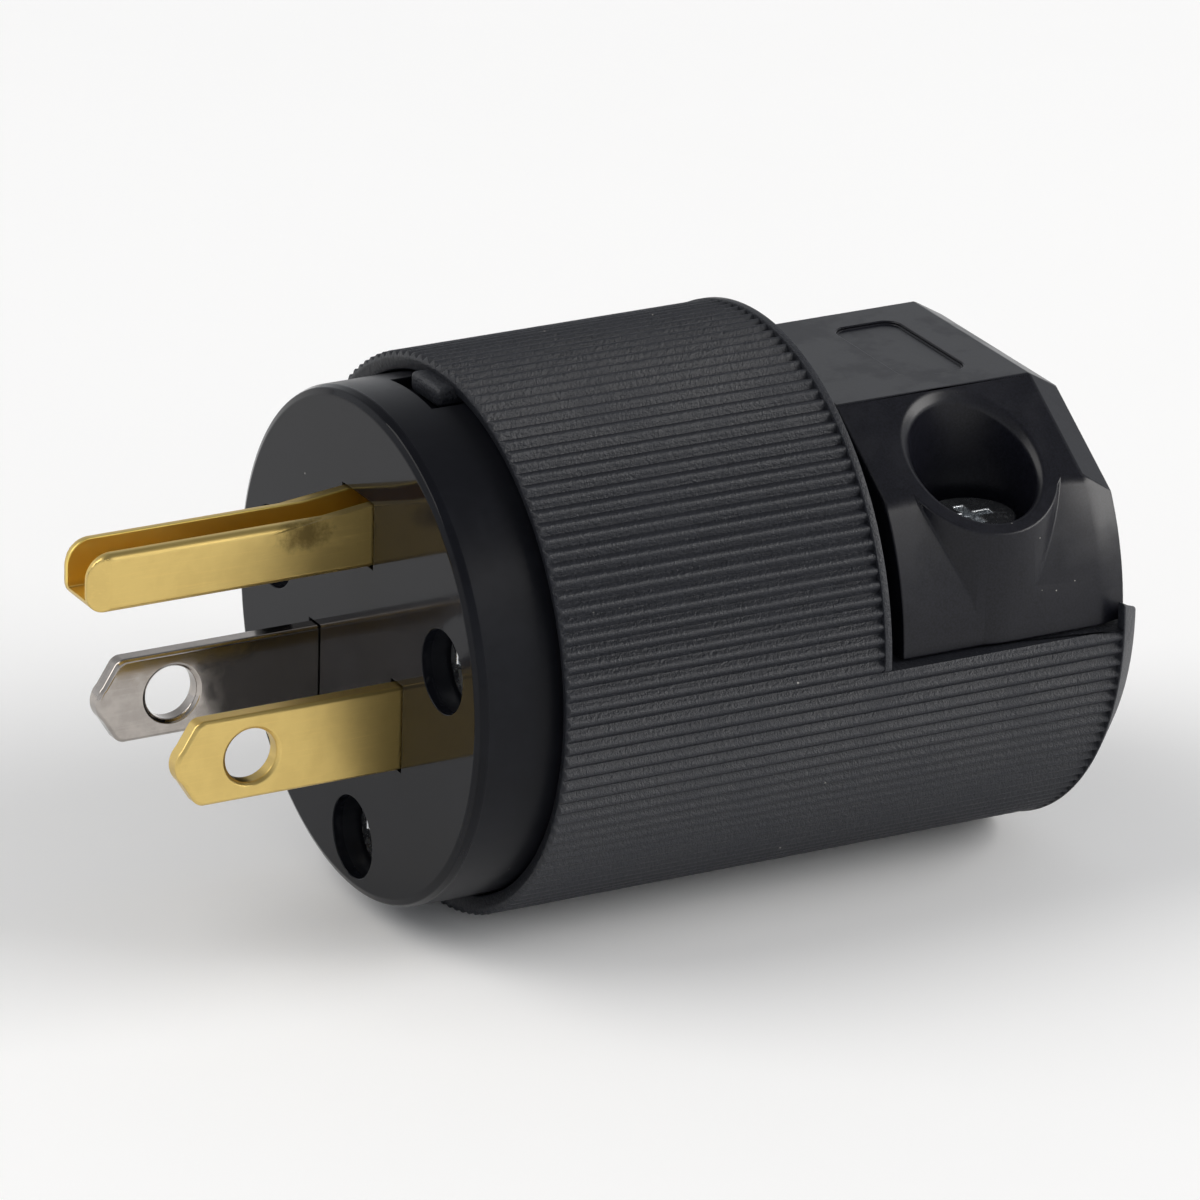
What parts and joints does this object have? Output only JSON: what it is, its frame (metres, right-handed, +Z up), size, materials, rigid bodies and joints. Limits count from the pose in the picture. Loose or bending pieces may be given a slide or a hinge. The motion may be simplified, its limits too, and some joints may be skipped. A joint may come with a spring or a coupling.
{
  "type": "type b plug",
  "caption": "Round grounded mains plug with flat blades, a channel ground blade, a ribbed barrel and a screwed cord clamp.",
  "frame": {"origin": "centre of the plug's face, where the blades come out", "axes": "+Y along the barrel away from the blades, +Z up towards the ground blade, +X towards the brass flat blade"},
  "size_m": [0.0408, 0.0743, 0.0408],
  "materials": {
    "barrel_nylon": "satin black",
    "clamp_nylon": "satin black",
    "carrier_plastic": "glossy black",
    "retainer_plastic": "matt black",
    "brass": "plain rolled brass",
    "nickel_plate": "dull nickel plate on brass",
    "zinc_steel": "bright zinc plate",
    "green_steel": "green lacquer"
  },
  "bodies": {
    "plug": {"body_shell": "barrel_nylon", "contact_carrier": "carrier_plastic", "terminal_block": "carrier_plastic", "wire_retainer": "retainer_plastic", "hot_blade": "brass", "ground_blade": "brass", "neutral_blade": "nickel_plate", "hot_terminal_screw": "brass", "neutral_terminal_screw": "zinc_steel", "ground_terminal_screw": "green_steel", "hot_wire_plate": "zinc_steel", "neutral_wire_plate": "zinc_steel", "ground_wire_plate": "zinc_steel", "right_assembly_screw": "zinc_steel", "left_assembly_screw": "zinc_steel", "lower_assembly_screw": "zinc_steel"},
    "clamp": {"cord_clamp": "clamp_nylon", "right_clamp_screw": "zinc_steel", "left_clamp_screw": "zinc_steel"}
  },
  "joints": [
    {"name": "cord_clamp_slide", "type": "slide", "parent": "plug", "child": "clamp", "axis": [0, 0, 1], "range_m": [0, 0.005]}
  ]
}
